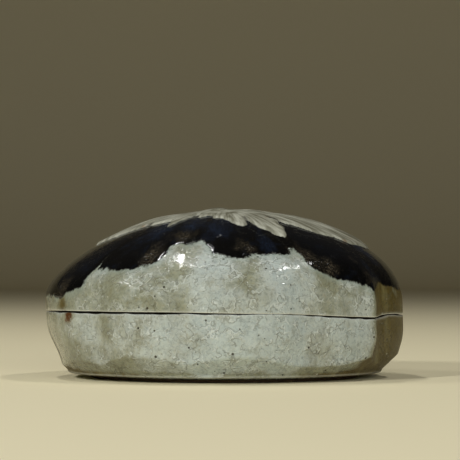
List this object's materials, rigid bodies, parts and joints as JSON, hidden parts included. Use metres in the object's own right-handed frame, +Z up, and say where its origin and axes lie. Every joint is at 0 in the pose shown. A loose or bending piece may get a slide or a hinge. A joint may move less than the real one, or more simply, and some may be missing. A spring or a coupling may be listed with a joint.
{
  "type": "kogo incense box",
  "caption": "Round, softly lobed stoneware incense box with a domed lift-off lid that drops over a raised flange on its shallow footed body.",
  "frame": {"origin": "on the table under the centre of the foot ring", "axes": "+Z up through the crown of the lid, -Y towards the front seen in the picture, +X to the right of that view"},
  "size_m": [0.0719, 0.0722, 0.0342],
  "materials": {
    "ash_glaze": "crackled grey-green ash glaze, bare clay at the foot and rims",
    "iron_over_ash_glaze": "black iron glaze brushed over grey-green ash glaze, buff dry top"
  },
  "bodies": {
    "body": {"body": "ash_glaze"},
    "lid": {"lid": "iron_over_ash_glaze"}
  },
  "joints": [
    {"name": "lid_lift", "type": "slide", "parent": "body", "child": "lid", "axis": [0, 0, 1], "range_m": [0, 0.05]}
  ]
}
